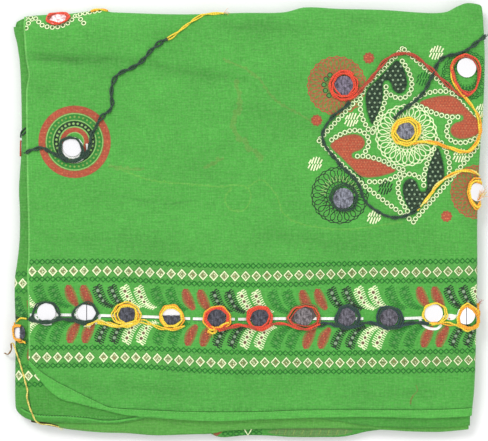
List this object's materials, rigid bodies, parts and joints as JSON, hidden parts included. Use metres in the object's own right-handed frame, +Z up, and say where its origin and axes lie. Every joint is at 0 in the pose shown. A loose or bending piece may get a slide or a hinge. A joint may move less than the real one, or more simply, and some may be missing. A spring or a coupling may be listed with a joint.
{
  "type": "folded printed mirror-work shawl",
  "caption": "Printed cotton shawl with round mirrors and couched thread, folded into a flat rectangular pack with layered edges.",
  "frame": {"origin": "on the table under the middle of the folded pack", "axes": "+X along the longer side, towards the right fold, +Y towards the far fold, +Z up"},
  "size_m": [0.4792, 0.4356, 0.026],
  "materials": {
    "cotton_voile": "printed plain-weave cotton voile, matt",
    "turned_hem": "turned and stitched hem of the same voile",
    "mirror_glass": "thin silvered glass, lightly tarnished",
    "embroidery_thread": "thick soft cotton thread in red, orange, yellow and black"
  },
  "bodies": {
    "root": {"folded_layers": "cotton_voile", "front_ply": "cotton_voile", "front_hem": "turned_hem", "under_ply": "cotton_voile", "third_ply": "cotton_voile", "fourth_ply": "cotton_voile", "mirror_border_01": "mirror_glass", "mirror_border_02": "mirror_glass", "mirror_border_03": "mirror_glass", "mirror_border_04": "mirror_glass", "mirror_border_05": "mirror_glass", "mirror_border_06": "mirror_glass", "mirror_border_07": "mirror_glass", "mirror_border_08": "mirror_glass", "mirror_border_09": "mirror_glass", "mirror_border_10": "mirror_glass", "mirror_border_11": "mirror_glass", "mirror_circle": "mirror_glass", "mirror_square_centre": "mirror_glass", "mirror_square_far": "mirror_glass", "mirror_square_right": "mirror_glass", "mirror_square_near": "mirror_glass", "mirror_far_fold": "mirror_glass", "mirror_right_fold": "mirror_glass", "mirror_under": "mirror_glass", "thread_ring_border_01": "embroidery_thread", "thread_ring_border_02": "embroidery_thread", "thread_ring_border_03": "embroidery_thread", "thread_ring_border_04": "embroidery_thread", "thread_ring_border_05": "embroidery_thread", "thread_ring_border_06": "embroidery_thread", "thread_ring_border_07": "embroidery_thread", "thread_ring_border_08": "embroidery_thread", "thread_ring_border_09": "embroidery_thread", "thread_ring_border_10": "embroidery_thread", "thread_ring_border_11": "embroidery_thread", "thread_ring_circle": "embroidery_thread", "thread_ring_square_centre": "embroidery_thread", "thread_ring_square_far": "embroidery_thread", "thread_ring_square_right": "embroidery_thread", "thread_ring_square_near": "embroidery_thread", "thread_ring_far_fold": "embroidery_thread", "thread_ring_right_fold": "embroidery_thread", "thread_ring_under": "embroidery_thread"}
  },
  "joints": []
}
